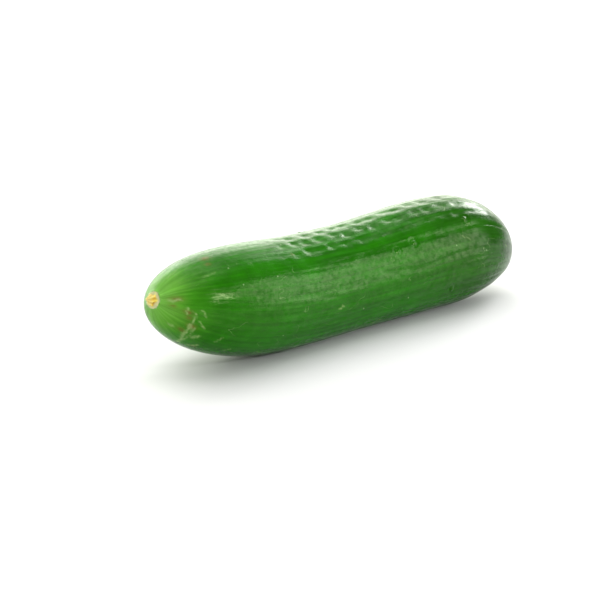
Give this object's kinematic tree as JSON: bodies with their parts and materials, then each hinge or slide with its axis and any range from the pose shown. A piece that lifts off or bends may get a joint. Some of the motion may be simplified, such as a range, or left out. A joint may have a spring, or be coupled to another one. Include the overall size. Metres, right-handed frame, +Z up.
{
  "type": "cucumber",
  "caption": "Smooth-skinned mini cucumber lying on its belly, slightly curved, with a dried flower tuft at its pale blossom end and a short stem stub at the other.",
  "frame": {"origin": "on the ground, under the centre of the cucumber's bounding box", "axes": "+X along the cucumber from its blossom end to its stem end, +Y to the side its middle bows towards, +Z up"},
  "size_m": [0.1586, 0.0368, 0.0362],
  "materials": {
    "skin": "waxy, half-glossy green skin",
    "dried_flower": "dry and matte",
    "stem": "fibrous, matte green"
  },
  "bodies": {
    "root": {"fruit": "skin", "flower_remnant": "dried_flower", "stem_stub": "stem"}
  },
  "joints": []
}
